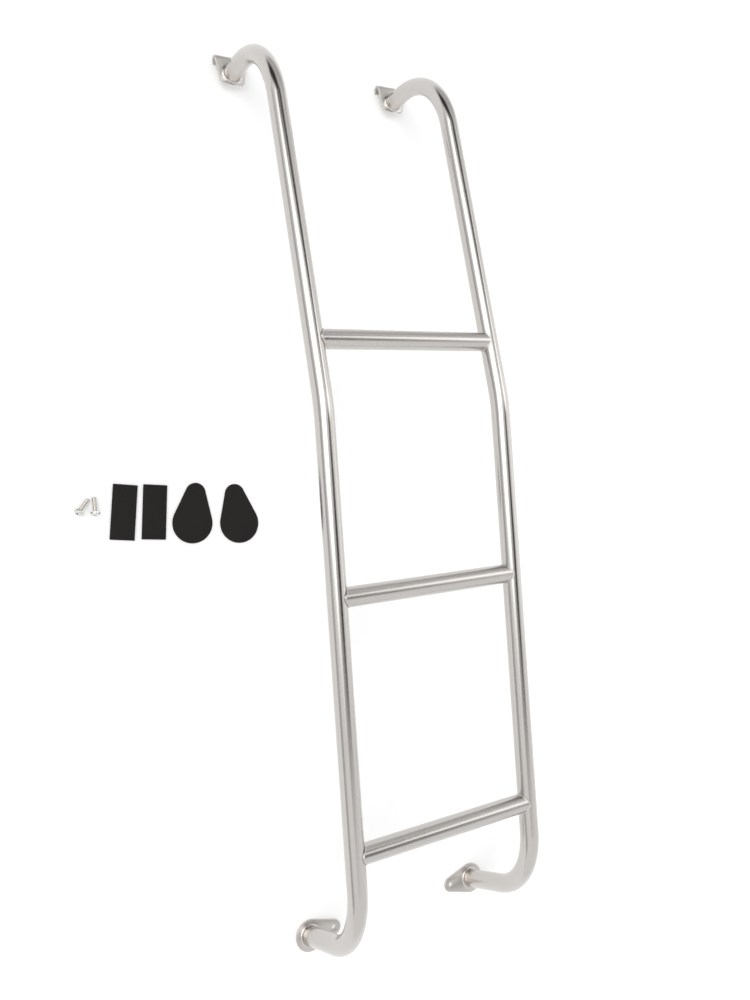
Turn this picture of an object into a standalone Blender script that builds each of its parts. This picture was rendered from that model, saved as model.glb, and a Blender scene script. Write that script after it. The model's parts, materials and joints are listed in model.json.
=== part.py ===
"""Tailgate ladder of bent stainless tube, lying on its hooks and feet, with its loose fitting kit beside it.

+X runs along the rungs, +Y up the ladder from the feet to the hooks, and +Z away from the tailgate. The
surface that the ladder lies on is Z = 0. Lengths are in metres.
"""

import math

import bmesh
import bpy
from mathutils import Matrix, Vector

# Tube and welds
TUBE_RADIUS = 0.0125
TUBE_WALL = 0.0015
TUBE_SIDES = 20
RAIL_SPACING = 0.2655
GAP = 0.0003
CUTTER_SIDES = 28
CUTTER_REACH = 0.040
BEAD_SIDES = 8
BEAD_STEPS = 20
RUNG_BEAD_RADIUS = 0.0026
PLATE_BEAD_RADIUS = 0.0036
SHARP_ANGLE = 40
MERGE_DISTANCE = 1e-6

# Rail, from the hook end to the foot end. Angles are in degrees.
HOOK_LEG = 0.027
TOP_BEND_RADIUS = 0.112
UPPER_SLOPE = 6.3
UPPER_RUN = 0.388
KINK_RADIUS = 0.226
LOWER_SLOPE = 3.8
LOWER_RUN = 0.563
BOTTOM_BEND_RADIUS = 0.1015
FOOT_LEAN = 11.7
FOOT_LEG = 0.077
BEND_STEP = 6.5
FOOT_OVERRUN = 0.012

# Rungs, by their distance along the rail from the middle of the kink
TOP_RUNG_AT = 0.084
MIDDLE_RUNG_AT = -0.232
BOTTOM_RUNG_AT = -0.542

# Hook plates, measured from the rail's axis
PLATE_THICKNESS = 0.003
HOOK_PLATE_TOP = 0.0275
HOOK_PLATE_BOTTOM = -0.014
HOOK_TOP_WIDTH = 0.046
HOOK_BOTTOM_WIDTH = 0.031
HOOK_SIDE_DROP = 0.010
HOOK_CORNER = 0.005
HOOK_CORNER_STEPS = 4
HOOK_LIP_RETURN = 0.003
LIP_STEPS = 10

# Foot plates: a wide round end on the rail's axis and a narrow one with the screw hole
FOOT_WIDE_RADIUS = 0.0205
FOOT_NARROW_RADIUS = 0.010
FOOT_HOLE_OFFSET = 0.0355
FOOT_HOLE_RADIUS = 0.0033
TEARDROP_STEPS = 28

# Fitting kit
PAD_THICKNESS = 0.003
HOOK_PAD_WIDTH = 0.031
HOOK_PAD_LENGTH = 0.071
FOOT_PAD_WIDE_RADIUS = 0.027
FOOT_PAD_NARROW_RADIUS = 0.0135
FOOT_PAD_OFFSET = 0.040
SCREW_RADIUS = 0.003
SCREW_LENGTH = 0.020
SCREW_TIP = 0.0012
SCREW_HEAD_RADIUS = 0.0062
SCREW_HEAD_HEIGHT = 0.0042
SCREW_RIM_HEIGHT = 0.0015
SCREW_DOME_START = 15
SCREW_DOME_STEPS = 4
SCREW_SIDES = 24
RECESS_WIDTH = 0.0016
RECESS_SPAN = 0.0068
RECESS_DEPTH = 0.0024

# Where the kit lies: X and Y from the foot of the ladder, and the heading of its long axis in degrees from +Y
# towards -X. Pads give their middle, or their wide end; screws give the underside of the head.
HOOK_PADS = (((-0.3319, 0.5900), -8.1), ((-0.2927, 0.5870), -6.6))
FOOT_PADS = (((-0.2437, 0.5684), -11.0), ((-0.1788, 0.5626), 4.2))
SCREWS = (((-0.3870, 0.5950), -40.0), ((-0.3680, 0.5925), -2.0))

STEEL = (0.60, 0.59, 0.57)
WELD = (0.72, 0.71, 0.69)
SCREW_STEEL = (0.66, 0.65, 0.63)
RUBBER = (0.018, 0.018, 0.018)


def clear_scene():
    for obj in list(bpy.data.objects):
        bpy.data.objects.remove(obj, do_unlink=True)


def material(name, colour, roughness, metallic):
    made = bpy.data.materials.new(name)
    made.use_nodes = True
    shader = made.node_tree.nodes["Principled BSDF"]
    shader.inputs["Base Color"].default_value = (*colour, 1.0)
    shader.inputs["Roughness"].default_value = roughness
    shader.inputs["Metallic"].default_value = metallic
    return made


def finish(bm, name, made):
    """Turns a bmesh into a linked object whose round faces are shaded smooth."""
    bmesh.ops.recalc_face_normals(bm, faces=bm.faces)
    mesh = bpy.data.meshes.new(name)
    bm.to_mesh(mesh)
    bm.free()
    mesh.shade_smooth()
    mesh.set_sharp_from_angle(angle=math.radians(SHARP_ANGLE))
    if made:
        mesh.materials.append(made)
    obj = bpy.data.objects.new(name, mesh)
    bpy.context.collection.objects.link(obj)
    return obj


def as_cutter(obj):
    obj.hide_render = True
    obj.display_type = "WIRE"
    return obj


def cut(obj, cutters, operation="DIFFERENCE"):
    for cutter in cutters:
        modifier = obj.modifiers.new(cutter.name, "BOOLEAN")
        modifier.operation = operation
        modifier.object = cutter
        modifier.solver = "EXACT"


def along(direction):
    """A rotation that turns +Z to the direction."""
    return Vector(direction).to_track_quat("Z", "Y").to_matrix().to_4x4()


def rod(name, radius, start, end, sides, made=None):
    """A solid cylinder between two points."""
    start, end = Vector(start), Vector(end)
    bm = bmesh.new()
    place = Matrix.Translation((start + end) / 2) @ along(end - start)
    bmesh.ops.create_cone(
        bm, cap_ends=True, segments=sides, radius1=radius, radius2=radius,
        depth=(end - start).length, matrix=place,
    )
    return finish(bm, name, made)


def slab(name, low, high, made=None):
    """A solid box between two corners."""
    low, high = Vector(low), Vector(high)
    bm = bmesh.new()
    place = Matrix.Translation((low + high) / 2) @ Matrix.Diagonal((*(high - low), 1.0))
    bmesh.ops.create_cube(bm, size=1.0, matrix=place)
    return finish(bm, name, made)


def prism(bm, outline, bottom, top):
    """Raises a closed XY outline into a solid from one height to another."""
    face = bm.faces.new([bm.verts.new((x, y, bottom)) for x, y in outline])
    raised = bmesh.ops.extrude_face_region(bm, geom=[face])["geom"]
    lift = [item for item in raised if isinstance(item, bmesh.types.BMVert)]
    bmesh.ops.translate(bm, verts=lift, vec=(0, 0, top - bottom))


# The rail is drawn in its own plane, as (y, z), with its foot end at the origin of the ladder.


def rail_sections():
    """The rail's straights and bends from the hook end: ("feed", length) or ("bend", radius, degrees)."""
    return (
        ("feed", HOOK_LEG),
        ("bend", TOP_BEND_RADIUS, 90.0 - UPPER_SLOPE),
        ("feed", UPPER_RUN),
        ("bend", KINK_RADIUS, UPPER_SLOPE + LOWER_SLOPE),
        ("feed", LOWER_RUN),
        ("bend", BOTTOM_BEND_RADIUS, 90.0 - FOOT_LEAN - LOWER_SLOPE),
        ("feed", FOOT_LEG),
    )


def walk(point, heading, section):
    """The point and heading at the far end of a section. The heading is the angle above -Y, in degrees."""
    turn = math.radians(heading)
    ahead = Vector((-math.cos(turn), math.sin(turn)))
    if section[0] == "feed":
        return point + ahead * section[1], heading
    centre = point + Vector((-ahead.y, ahead.x)) * section[1]
    turned = math.radians(heading - section[2])
    return centre + Vector((math.sin(turned), math.cos(turned))) * section[1], heading - section[2]


def rail_start():
    """The middle of the hook end, so that the foot end comes down on the foot plate."""
    point, heading = Vector((0.0, 0.0)), 90.0
    for section in rail_sections():
        point, heading = walk(point, heading, section)
    return Vector((0.0, PLATE_THICKNESS + GAP)) - point


def kink_middle():
    """The point where the upper and the lower run would cross."""
    point, heading = rail_start(), 90.0
    for section in rail_sections()[:3]:
        point, heading = walk(point, heading, section)
    tangent = KINK_RADIUS * math.tan(math.radians(UPPER_SLOPE + LOWER_SLOPE) / 2)
    return walk(point, heading, ("feed", tangent))[0]


def run_direction(distance):
    """The direction up the ladder of the straight run that holds this distance from the kink."""
    slope = math.radians(-UPPER_SLOPE if distance > 0 else LOWER_SLOPE)
    return Vector((math.cos(slope), math.sin(slope)))


def rail_point(distance):
    return kink_middle() + run_direction(distance) * distance


def foot_direction():
    """The direction up the foot leg, away from the plate."""
    lean = math.radians(FOOT_LEAN)
    return Vector((math.sin(lean), math.cos(lean)))


def ring_face(bm, radius, wall, place):
    """The flat ring at the tube's end, as a band of faces."""
    edges = []
    for size in (radius, radius - wall):
        circle = bmesh.ops.create_circle(bm, segments=TUBE_SIDES, radius=size, matrix=place)
        edges += list({edge for vert in circle["verts"] for edge in vert.link_edges})
    return bmesh.ops.bridge_loops(bm, edges=edges)["faces"]


def new_faces(result):
    return [item for item in result if isinstance(item, bmesh.types.BMFace)]


def feed(bm, faces, step, first=False):
    """Pushes the tube's end along by a step. Only the first push leaves an end face behind."""
    made = bmesh.ops.extrude_face_region(bm, geom=faces)["geom"]
    bmesh.ops.translate(bm, verts=[v for v in made if isinstance(v, bmesh.types.BMVert)], vec=step)
    if not first:
        bmesh.ops.delete(bm, geom=faces, context="FACES")
    return new_faces(made)


def bent_tube(name, made):
    """A rail's tube, fed and bent section by section, then sawn off parallel to the foot plate."""
    bm = bmesh.new()
    point, heading = rail_start(), 90.0
    faces = ring_face(bm, TUBE_RADIUS, TUBE_WALL, Matrix.Translation((0, point.x, point.y)))
    for number, section in enumerate(rail_sections()):
        after, turned = walk(point, heading, section)
        if section[0] == "feed":
            step = after - point
            faces = feed(bm, faces, (0, step.x, step.y), first=number == 0)
        else:
            ahead = math.radians(heading)
            centre = point + Vector((-math.sin(ahead), -math.cos(ahead))) * section[1]
            spun = bmesh.ops.spin(
                bm, geom=faces, cent=(0, centre.x, centre.y), axis=(1, 0, 0), dvec=(0, 0, 0),
                angle=math.radians(section[2]), space=Matrix(), use_merge=False, use_duplicate=False,
                steps=max(2, round(section[2] / BEND_STEP)),
            )
            bmesh.ops.delete(bm, geom=faces, context="FACES")
            faces = new_faces(spun["geom_last"])
        point, heading = after, turned
    down = -foot_direction() * FOOT_OVERRUN
    feed(bm, faces, (0, down.x, down.y))
    sawn = bmesh.ops.bisect_plane(
        bm, geom=bm.verts[:] + bm.edges[:] + bm.faces[:], dist=MERGE_DISTANCE,
        plane_co=(0, 0, PLATE_THICKNESS + GAP), plane_no=(0, 0, -1), clear_outer=True,
    )
    rim = [item for item in sawn["geom_cut"] if isinstance(item, bmesh.types.BMEdge)]
    bmesh.ops.bridge_loops(bm, edges=rim)
    return finish(bm, name, made)


def in_space(x, flat):
    return Vector((x, flat.x, flat.y))


def rail_clearance(side, distance):
    """A cutter round the rail's straight run at a rung."""
    middle = in_space(side * RAIL_SPACING / 2, rail_point(distance))
    reach = in_space(0, run_direction(distance)) * CUTTER_REACH
    name = f"rail_clearance_{side:+d}_{round(abs(distance) * 1000)}"
    return as_cutter(rod(name, TUBE_RADIUS + GAP, middle - reach, middle + reach, CUTTER_SIDES))


def rung(name, distance, cutters, made):
    """A tube between the rails, with its ends cut to saddles by the rails' clearance."""
    middle = rail_point(distance)
    start = in_space(-RAIL_SPACING / 2, middle)
    length = Vector((RAIL_SPACING, 0, 0))
    bm = bmesh.new()
    faces = ring_face(bm, TUBE_RADIUS, TUBE_WALL, Matrix.Translation(start) @ along(length))
    feed(bm, faces, length, first=True)
    obj = finish(bm, name, made)
    cut(obj, cutters)
    return obj


def bead(name, centres, radius, made):
    """A closed round bead along a loop of points."""
    curve = bpy.data.curves.new(name, "CURVE")
    curve.dimensions = "3D"
    curve.bevel_depth = radius
    curve.bevel_resolution = BEAD_SIDES // 4
    spline = curve.splines.new("POLY")
    spline.points.add(len(centres) - 1)
    for point, centre in zip(spline.points, centres):
        point.co = (*centre, 1.0)
    spline.use_cyclic_u = True
    drawn = bpy.data.objects.new(name, curve)
    bpy.context.collection.objects.link(drawn)
    bpy.context.view_layer.update()
    mesh = bpy.data.meshes.new_from_object(drawn.evaluated_get(bpy.context.evaluated_depsgraph_get()))
    bpy.data.objects.remove(drawn, do_unlink=True)
    bm = bmesh.new()
    bm.from_mesh(mesh)
    bpy.data.meshes.remove(mesh)
    return finish(bm, name, made)


def rung_bead(name, side, distance, cutters, made):
    """The weld round a rung's end, along the saddle where the two tubes meet."""
    middle = in_space(side * RAIL_SPACING / 2, rail_point(distance))
    up = in_space(0, run_direction(distance))
    across = Vector((1, 0, 0)).cross(up)
    centres = []
    for step in range(BEAD_STEPS):
        angle = math.tau * (step + 0.5) / BEAD_STEPS
        off = math.cos(angle)
        reach = TUBE_RADIUS * math.sqrt(max(0.0, 1 - off * off))
        ring = across * (TUBE_RADIUS * off) + up * (TUBE_RADIUS * math.sin(angle))
        centres.append(middle + ring - Vector((side * reach, 0, 0)))
    obj = bead(name, centres, RUNG_BEAD_RADIUS, made)
    cut(obj, cutters)
    return obj


def plate_bead(name, middle, direction, cutters, made):
    """The weld round a rail's end, where it stands on a flat plate."""
    lean = 1 / direction.z
    centres = []
    for step in range(BEAD_STEPS):
        angle = math.tau * step / BEAD_STEPS
        ring = Vector((math.cos(angle), math.sin(angle) * lean, 0)) * TUBE_RADIUS
        centres.append(middle + ring)
    obj = bead(name, centres, PLATE_BEAD_RADIUS, made)
    cut(obj, cutters)
    return obj


def hook_outline():
    """The hook plate's outline from the front: straight sides, a taper and two rounded bottom corners."""
    top, low = HOOK_TOP_WIDTH / 2, HOOK_BOTTOM_WIDTH / 2
    shoulder = HOOK_PLATE_TOP - HOOK_SIDE_DROP
    side = Vector((low - top, HOOK_PLATE_BOTTOM - shoulder)).normalized()
    corner = Vector((low, HOOK_PLATE_BOTTOM))
    turn = math.acos(-side.y) / 2
    trim = HOOK_CORNER * math.tan(math.pi / 4 - turn)
    start = corner - side * trim
    centre = Vector((corner.x - trim, HOOK_PLATE_BOTTOM + HOOK_CORNER))
    first = math.atan2(start.y - centre.y, start.x - centre.x)
    right = [(top, HOOK_PLATE_TOP + HOOK_SIDE_DROP), (top, shoulder)]
    for step in range(HOOK_CORNER_STEPS + 1):
        angle = first + (-math.pi / 2 - first) * step / HOOK_CORNER_STEPS
        right.append((centre.x + HOOK_CORNER * math.cos(angle), centre.y + HOOK_CORNER * math.sin(angle)))
    return right + [(-x, y) for x, y in reversed(right)]


def hook_plate(name, side, made):
    """A flat plate whose top edge is rolled back under it into a lip, which rests on the surface."""
    end = rail_start()
    face = end.y - GAP
    outer = face / 2
    inner = outer - PLATE_THICKNESS
    roll = HOOK_PLATE_TOP - outer
    section = [(HOOK_PLATE_BOTTOM - HOOK_SIDE_DROP, face), (roll, face)]
    arc = [math.pi / 2 - math.pi * step / LIP_STEPS for step in range(1, LIP_STEPS + 1)]
    section += [(roll + outer * math.cos(a), outer + outer * math.sin(a)) for a in arc]
    section += [(roll - HOOK_LIP_RETURN, 0.0), (roll - HOOK_LIP_RETURN, PLATE_THICKNESS)]
    section += [(roll + inner * math.cos(a), outer + inner * math.sin(a)) for a in reversed(arc)]
    section += [(roll, face - PLATE_THICKNESS)]
    section += [(HOOK_PLATE_BOTTOM - HOOK_SIDE_DROP, face - PLATE_THICKNESS)]
    bm = bmesh.new()
    half = HOOK_TOP_WIDTH / 2 + GAP
    flat = bm.faces.new([bm.verts.new((-half, y, z)) for y, z in section])
    swept = bmesh.ops.extrude_face_region(bm, geom=[flat])["geom"]
    verts = [item for item in swept if isinstance(item, bmesh.types.BMVert)]
    bmesh.ops.translate(bm, verts=verts, vec=(2 * half, 0, 0))
    obj = finish(bm, name, made)
    bm = bmesh.new()
    prism(bm, hook_outline(), -GAP, face + GAP)
    outline = as_cutter(finish(bm, name + "_outline", None))
    cut(obj, [outline], "INTERSECT")
    for item in (obj, outline):
        item.location = (side * RAIL_SPACING / 2, end.x, 0)
    return obj


def teardrop(wide, narrow, offset):
    """The outline round two circles, the narrow one at +X, as two arcs joined by their tangents."""
    tangent = math.acos((wide - narrow) / offset)
    points = []
    for step in range(TEARDROP_STEPS + 1):
        angle = tangent + (math.tau - 2 * tangent) * step / TEARDROP_STEPS
        points.append((wide * math.cos(angle), wide * math.sin(angle)))
    half = TEARDROP_STEPS // 2
    for step in range(half + 1):
        angle = -tangent + 2 * tangent * step / half
        points.append((offset + narrow * math.cos(angle), narrow * math.sin(angle)))
    return points


def foot_plate(name, side, made):
    """A teardrop plate lying flat, with its hole towards the middle of the ladder."""
    bm = bmesh.new()
    prism(bm, teardrop(FOOT_WIDE_RADIUS, FOOT_NARROW_RADIUS, FOOT_HOLE_OFFSET), 0.0, PLATE_THICKNESS)
    obj = finish(bm, name, made)
    hole = rod(
        name + "_hole", FOOT_HOLE_RADIUS, (FOOT_HOLE_OFFSET, 0, -PLATE_THICKNESS),
        (FOOT_HOLE_OFFSET, 0, 2 * PLATE_THICKNESS), SCREW_SIDES,
    )
    cut(obj, [as_cutter(hole)])
    for item in (obj, hole):
        item.location = (side * RAIL_SPACING / 2, 0, 0)
        item.rotation_euler = (0, 0, math.pi if side > 0 else 0.0)
    return obj


def hook_pad(name, spot, heading, made):
    half = Vector((HOOK_PAD_WIDTH / 2, HOOK_PAD_LENGTH / 2))
    obj = slab(name, (-half.x, -half.y, 0), (half.x, half.y, PAD_THICKNESS), made)
    obj.location = (*spot, 0)
    obj.rotation_euler = (0, 0, math.radians(heading))
    return obj


def foot_pad(name, spot, heading, made):
    bm = bmesh.new()
    prism(bm, teardrop(FOOT_PAD_WIDE_RADIUS, FOOT_PAD_NARROW_RADIUS, FOOT_PAD_OFFSET), 0.0, PAD_THICKNESS)
    obj = finish(bm, name, made)
    obj.location = (*spot, 0)
    obj.rotation_euler = (0, 0, math.radians(heading + 90))
    return obj


def screw_profile():
    """Half of the screw's section, as (radius, height) from the crown of the head down to the tip."""
    crown = SCREW_HEAD_HEIGHT - SCREW_RIM_HEIGHT
    spread = SCREW_HEAD_RADIUS / math.cos(math.radians(SCREW_DOME_START))
    dome = [(0.0, SCREW_HEAD_HEIGHT)]
    for step in range(1, SCREW_DOME_STEPS + 1):
        angle = math.radians(90 - (90 - SCREW_DOME_START) * step / SCREW_DOME_STEPS)
        dome.append((spread * math.cos(angle), SCREW_RIM_HEIGHT + crown * math.sin(angle)))
    return dome + [
        (SCREW_HEAD_RADIUS, 0.0),
        (SCREW_RADIUS, 0.0),
        (SCREW_RADIUS, SCREW_TIP - SCREW_LENGTH),
        (SCREW_RADIUS - SCREW_TIP, -SCREW_LENGTH),
        (0.0, -SCREW_LENGTH),
    ]


def screw_tilt():
    """How far the screw's axis dips towards its tip as it lies on its head and the end of its thread."""
    return math.atan2(SCREW_HEAD_RADIUS - SCREW_RADIUS, SCREW_LENGTH - SCREW_TIP)


def screw(name, spot, heading, made):
    """A pan-head screw with a cross recess, lying on its side."""
    bm = bmesh.new()
    profile = [bm.verts.new((radius, 0, height)) for radius, height in screw_profile()]
    edges = [bm.edges.new(pair) for pair in zip(profile, profile[1:])]
    bmesh.ops.spin(
        bm, geom=profile + edges, cent=(0, 0, 0), axis=(0, 0, 1), dvec=(0, 0, 0), angle=math.tau,
        space=Matrix(), steps=SCREW_SIDES, use_merge=True, use_duplicate=False,
    )
    bmesh.ops.remove_doubles(bm, verts=bm.verts, dist=MERGE_DISTANCE)
    obj = finish(bm, name, made)
    bm = bmesh.new()
    arm, half = RECESS_SPAN / 2, RECESS_WIDTH / 2
    quarter = [Vector((arm, -half)), Vector((arm, half)), Vector((half, half))]
    cross = [Matrix.Rotation(math.pi / 2 * turn, 2) @ point for turn in range(4) for point in quarter]
    prism(bm, cross, SCREW_HEAD_HEIGHT - RECESS_DEPTH, SCREW_HEAD_HEIGHT + RECESS_DEPTH)
    recess = as_cutter(finish(bm, name + "_recess", None))
    cut(obj, [recess])
    tilt = screw_tilt()
    # The axis lies along the heading with the tip ahead, and dips until the head and the thread both touch.
    turn = Matrix.Rotation(math.radians(heading), 4, "Z") @ Matrix.Rotation(math.pi / 2 - tilt, 4, "X")
    height = SCREW_HEAD_RADIUS * math.cos(tilt)
    for item in (obj, recess):
        item.matrix_world = Matrix.Translation((*spot, height)) @ turn
    return obj


def stand_at_origin(frame):
    """Moves the frame so that the origin is below the middle of the whole part, at the surface."""
    bpy.context.view_layer.update()
    graph = bpy.context.evaluated_depsgraph_get()
    points = []
    for obj in frame.children:
        if not obj.hide_render:
            seen = obj.evaluated_get(graph)
            points += [seen.matrix_world @ vert.co for vert in seen.data.vertices]
    for axis in range(2):
        ends = [point[axis] for point in points]
        frame.location[axis] = -(min(ends) + max(ends)) / 2


def build_side(side, word, steel, weld):
    """One rail with its two plates and their welds."""
    rail_x = side * RAIL_SPACING / 2
    hook_plate(f"{word}_hook_plate", side, steel)
    foot_plate(f"{word}_foot_plate", side, steel)
    foot_end = Vector((rail_x, 0, PLATE_THICKNESS + GAP))
    ends = (
        ("hook", in_space(rail_x, rail_start()), Vector((0, 0, 1))),
        ("foot", foot_end, in_space(0, foot_direction())),
    )
    for end_name, middle, direction in ends:
        name = f"{word}_{end_name}_weld"
        reach = direction * CUTTER_REACH
        tube = rod(name + "_tube", TUBE_RADIUS + GAP, middle - reach, middle + reach, CUTTER_SIDES)
        corner = Vector((CUTTER_REACH, CUTTER_REACH, 0))
        under = slab(name + "_under", middle - corner - Vector((0, 0, CUTTER_REACH)), middle + corner)
        plate_bead(name, middle, direction, [as_cutter(tube), as_cutter(under)], weld)


def build_rung(name, distance, steel, weld):
    rails = {side: rail_clearance(side, distance) for side in (-1, 1)}
    rung(name, distance, rails.values(), steel)
    middle = rail_point(distance)
    half = RAIL_SPACING / 2
    around = rod(
        name + "_clearance", TUBE_RADIUS + GAP, in_space(-half, middle), in_space(half, middle), CUTTER_SIDES,
    )
    as_cutter(around)
    for side, word in ((-1, "left"), (1, "right")):
        rung_bead(f"{name}_{word}_weld", side, distance, [rails[side], around], weld)


def main():
    clear_scene()
    steel = material("brushed_stainless", STEEL, 0.32, 1.0)
    weld = material("weld_metal", WELD, 0.18, 1.0)
    screw_steel = material("screw_stainless", SCREW_STEEL, 0.25, 1.0)
    rubber = material("black_rubber", RUBBER, 0.75, 0.0)

    left = bent_tube("left_rail", steel)
    left.location.x = -RAIL_SPACING / 2
    right = bpy.data.objects.new("right_rail", left.data)
    bpy.context.collection.objects.link(right)
    right.location.x = RAIL_SPACING / 2

    for side, word in ((-1, "left"), (1, "right")):
        build_side(side, word, steel, weld)
    build_rung("top_rung", TOP_RUNG_AT, steel, weld)
    build_rung("middle_rung", MIDDLE_RUNG_AT, steel, weld)
    build_rung("bottom_rung", BOTTOM_RUNG_AT, steel, weld)

    for number, (spot, heading) in enumerate(HOOK_PADS, start=1):
        hook_pad(f"hook_pad_{number}", spot, heading, rubber)
    for number, (spot, heading) in enumerate(FOOT_PADS, start=1):
        foot_pad(f"foot_pad_{number}", spot, heading, rubber)
    for number, (spot, heading) in enumerate(SCREWS, start=1):
        screw(f"foot_screw_{number}", spot, heading, screw_steel)

    frame = bpy.data.objects.new("ladder_frame", None)
    bpy.context.collection.objects.link(frame)
    for obj in list(bpy.context.collection.objects):
        if obj is not frame:
            obj.parent = frame
    stand_at_origin(frame)


main()
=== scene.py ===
"""A tailgate ladder of satin stainless tube, with its rubber pads and screws, on a pale studio floor.

+X runs along the rungs, +Y up the ladder from the feet to the hooks, and +Z up from the floor that it lies
on. Lengths are in metres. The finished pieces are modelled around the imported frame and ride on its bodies.
"""

import contextlib
import json
import math

import bmesh
import bpy
from mathutils import Matrix, Vector

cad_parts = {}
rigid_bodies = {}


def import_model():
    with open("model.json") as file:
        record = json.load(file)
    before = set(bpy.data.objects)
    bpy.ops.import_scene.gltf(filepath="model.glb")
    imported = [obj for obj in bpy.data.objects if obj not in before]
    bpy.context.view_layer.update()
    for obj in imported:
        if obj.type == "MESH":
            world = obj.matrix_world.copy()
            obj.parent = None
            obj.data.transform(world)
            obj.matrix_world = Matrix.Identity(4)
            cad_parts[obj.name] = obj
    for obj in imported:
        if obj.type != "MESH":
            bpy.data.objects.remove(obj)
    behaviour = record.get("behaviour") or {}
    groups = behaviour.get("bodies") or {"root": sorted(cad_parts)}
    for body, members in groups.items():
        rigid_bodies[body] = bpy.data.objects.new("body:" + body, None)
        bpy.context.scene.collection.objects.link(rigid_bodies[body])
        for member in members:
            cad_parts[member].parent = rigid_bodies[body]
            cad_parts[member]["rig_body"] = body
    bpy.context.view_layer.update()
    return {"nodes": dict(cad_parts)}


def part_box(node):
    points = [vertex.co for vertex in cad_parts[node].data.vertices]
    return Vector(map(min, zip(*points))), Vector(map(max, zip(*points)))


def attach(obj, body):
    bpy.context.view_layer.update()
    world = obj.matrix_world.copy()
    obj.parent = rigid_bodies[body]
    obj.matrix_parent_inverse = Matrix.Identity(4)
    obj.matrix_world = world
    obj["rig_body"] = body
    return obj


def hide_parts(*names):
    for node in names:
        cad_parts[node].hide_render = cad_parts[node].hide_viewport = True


bl_info = {
    "name": "Tailgate Ladder",
    "version": (1, 0, 0),
    "blender": (4, 5, 0),
    "location": "3D View > Sidebar > Ladder",
    "description": "Builds a bent-tube tailgate ladder with its fitting kit",
    "category": "Object",
}

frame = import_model()

SIDES = {"left": -1, "right": 1}
RUNGS = ("top", "middle", "bottom")

# Places and sizes that the frame gives
LEFT_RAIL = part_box("left_rail")
RIGHT_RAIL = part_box("right_rail")
FOOT_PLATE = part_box("left_foot_plate")
HOOK_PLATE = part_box("left_hook_plate")
HOOK_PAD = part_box("hook_pad_1")
TUBE_RADIUS = (LEFT_RAIL[1].x - LEFT_RAIL[0].x) / 2
RAIL_SPACING = RIGHT_RAIL[0].x - LEFT_RAIL[0].x
MIDDLE_X = (LEFT_RAIL[0].x + RIGHT_RAIL[1].x) / 2
FOOT_Y = (FOOT_PLATE[0].y + FOOT_PLATE[1].y) / 2
HOOK_Y = LEFT_RAIL[1].y - TUBE_RADIUS
PLATE_THICKNESS = FOOT_PLATE[1].z
HOOK_FACE = HOOK_PLATE[1].z
PAD_THICKNESS = HOOK_PAD[1].z

# The rail's straights and bends from the hook end. Slopes are in degrees from level.
HOOK_LEG = 0.027
TOP_BEND_RADIUS = 0.112
UPPER_SLOPE = 6.3
UPPER_RUN = 0.388
KINK_RADIUS = 0.226
LOWER_SLOPE = 3.8
LOWER_RUN = 0.563
BOTTOM_BEND_RADIUS = 0.1015
FOOT_LEAN = 11.7
FOOT_LEG = 0.077
FOOT_OVERRUN = 0.012

# Welds. A tube or weld runs this much into what it is joined to, and a rung stops this short of its rail.
SINK = 0.0004
SADDLE_GAP = 0.0010
FILLET_STEPS = 8
RIPPLE_SHAPE = (0.0, 1.0, 0.6, 0.2)

# Hook plates, from the rail's axis
HOOK_TOP = HOOK_PLATE[1].y - HOOK_Y
HOOK_BOTTOM = HOOK_PLATE[0].y - HOOK_Y
HOOK_TOP_WIDTH = HOOK_PLATE[1].x - HOOK_PLATE[0].x
HOOK_BOTTOM_WIDTH = 0.035
HOOK_SIDE_DROP = 0.010
HOOK_CORNER = 0.005
HOOK_LIP_RETURN = 0.003

# Teardrop plates and pads, as wide radius, narrow radius and the distance between them
PLATE_TEARDROP = (0.0205, 0.010, 0.0355)
PAD_TEARDROP = (0.027, 0.0135, 0.040)
FOOT_HOLE_RADIUS = 0.0033
BACKING_HEIGHT = 0.0005

# How far the polish beside a weld reaches
RAIL_POLISH = 0.013
RUNG_POLISH = 0.004
PLATE_POLISH = TUBE_RADIUS + 0.002

# Headings are in degrees from +Y towards -X.
HOOK_PAD_SIZE = (0.031, 0.071)
HOOK_PAD_HEADINGS = (-8.1, -6.6)
FOOT_PAD_HEADINGS = (-11.0, 4.2)
SCREW_HEADINGS = (-40.0, -2.0)
SCREW_ROLLS = (20.0, 45.0)

# Screws
SCREW_RADIUS = 0.003
SCREW_LENGTH = 0.020
SCREW_TIP = 0.0012
THREAD_PITCH = 0.001
THREAD_DEPTH = 0.0006
HEAD_RADIUS = 0.0062
HEAD_HEIGHT = 0.0042
HEAD_RIM = 0.0015
HEAD_RINGS = 9
RECESS_WIDTH = 0.0020
RECESS_SPAN = 0.0068
RECESS_DEPTH = 0.0024
RECESS_TAPER = 0.45
RECESS_POINT = 0.0003
SCREW_EDGE = 0.00012


# ---------------------------------------------------------------------------------------------------------
# Settings


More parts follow.
